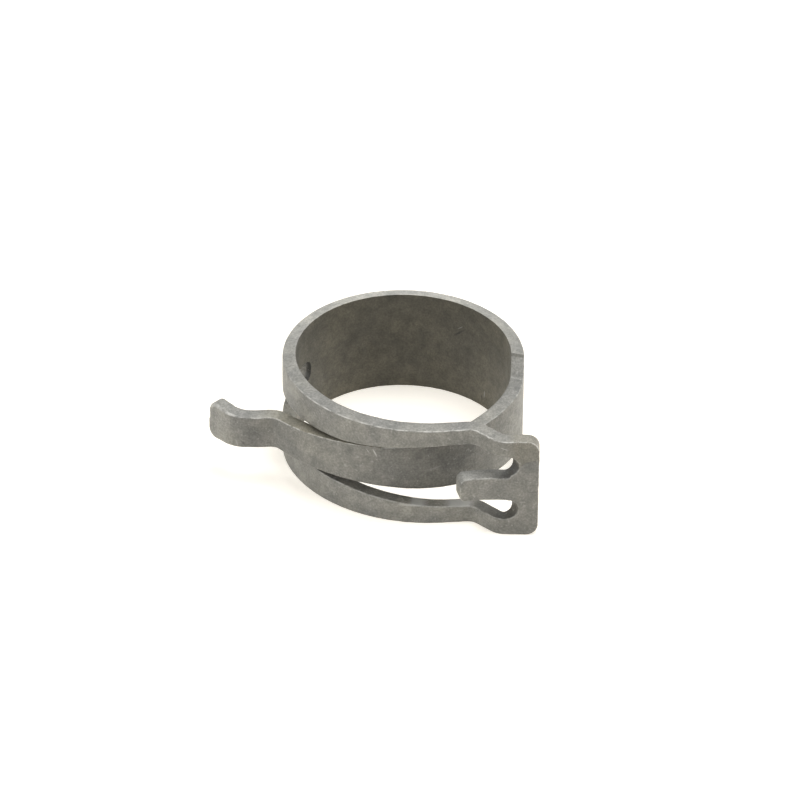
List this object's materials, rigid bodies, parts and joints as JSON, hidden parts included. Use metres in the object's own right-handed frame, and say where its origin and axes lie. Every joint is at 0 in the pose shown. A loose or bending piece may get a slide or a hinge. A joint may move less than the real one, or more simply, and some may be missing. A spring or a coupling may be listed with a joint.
{
  "type": "spring hose clamp",
  "caption": "Spring band hose clamp with a tapering window, an overlapping tongue, a bent finger and two ears for pliers.",
  "frame": {"origin": "on the ring's axis, at the lower edge of the band", "axes": "+Z along the ring's axis, across the band; the two ears are on the -Y side, the broad plate towards +X and the narrow ear towards -X"},
  "size_m": [0.0354, 0.0303, 0.012],
  "materials": {
    "spring_steel": "matte grey conversion coating on spring steel, satin where it is worn"
  },
  "bodies": {
    "root": {"clamp": "spring_steel"}
  },
  "joints": []
}
